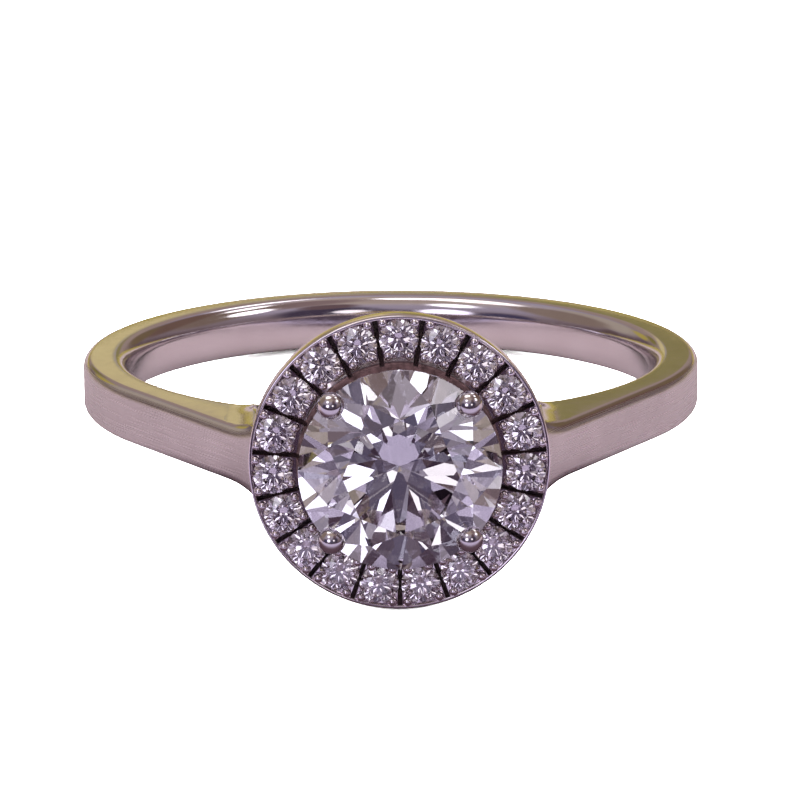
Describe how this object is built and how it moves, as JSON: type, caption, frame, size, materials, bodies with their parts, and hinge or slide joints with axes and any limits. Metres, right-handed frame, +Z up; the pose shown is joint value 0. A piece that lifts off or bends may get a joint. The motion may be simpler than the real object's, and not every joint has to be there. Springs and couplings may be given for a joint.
{
  "type": "halo ring",
  "caption": "Finger ring lying on its side: a plain band whose straight shoulders rise to a round halo of small stones about a larger stone held by claws.",
  "frame": {"origin": "middle of the ring's box in plan, on the floor that it rests on", "axes": "+Z up from the floor, the head points along -Y, +X to the right of someone who looks at the head"},
  "size_m": [0.0194, 0.023, 0.0089],
  "materials": {
    "metal": "polished white gold, with a fine satin on the outside of the band",
    "stone": "clear, faceted and polished"
  },
  "bodies": {
    "root": {"band_and_setting": "metal", "center_stone": "stone", "halo_stone_01": "stone", "halo_stone_02": "stone", "halo_stone_03": "stone", "halo_stone_04": "stone", "halo_stone_05": "stone", "halo_stone_06": "stone", "halo_stone_07": "stone", "halo_stone_08": "stone", "halo_stone_09": "stone", "halo_stone_10": "stone", "halo_stone_11": "stone", "halo_stone_12": "stone", "halo_stone_13": "stone", "halo_stone_14": "stone", "halo_stone_15": "stone", "halo_stone_16": "stone", "halo_stone_17": "stone", "halo_stone_18": "stone", "halo_stone_19": "stone"}
  },
  "joints": []
}
